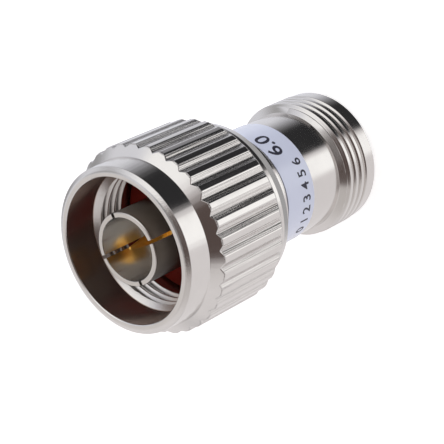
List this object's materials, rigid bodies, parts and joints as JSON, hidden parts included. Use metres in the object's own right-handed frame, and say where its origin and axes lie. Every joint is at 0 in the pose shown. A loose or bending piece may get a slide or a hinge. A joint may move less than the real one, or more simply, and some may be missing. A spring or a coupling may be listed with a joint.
{
  "type": "coaxial fixed attenuator",
  "caption": "In-line coaxial fixed attenuator: a fluted screw-on plug at one end, a threaded jack at the other, with a short labelled barrel holding the attenuating element between them.",
  "frame": {"origin": "centre of the jack's front face, on which the part stands", "axes": "+Z along the coaxial axis, from the jack's face to the plug's mouth; +Y towards the ends of the label"},
  "size_m": [0.021, 0.021, 0.0344],
  "materials": {
    "plated_body": "turned, bright nickel plated",
    "plated_nut": "turned and milled, bright nickel plated",
    "plated_sleeve": "satin white bronze plated",
    "ring_bronze": "bare spring bronze",
    "gold_contact": "gold plated",
    "inner_brass": "turned",
    "ptfe": "turned, waxy",
    "silicone": "moulded, matt",
    "alumina": "fired, matt",
    "label_film": "printed film"
  },
  "bodies": {
    "barrel": {"jack_body": "plated_body", "plug_body": "plated_body", "retaining_ring": "ring_bronze", "gasket": "silicone", "plug_sleeve": "plated_sleeve", "plug_pin": "gold_contact", "plug_bead": "ptfe", "plug_lock_ring": "inner_brass", "jack_contact": "gold_contact", "jack_bead": "ptfe", "jack_lock_ring": "inner_brass", "attenuator_chip": "alumina", "ground_half_front": "inner_brass", "ground_half_rear": "inner_brass", "label": "label_film"},
    "nut": {"coupling_nut": "plated_nut"}
  },
  "joints": [
    {"name": "nut_spin", "type": "hinge", "parent": "barrel", "child": "nut", "pos_m": [0, 0, 0.0264], "axis": [0, 0, 1], "continuous": true}
  ]
}
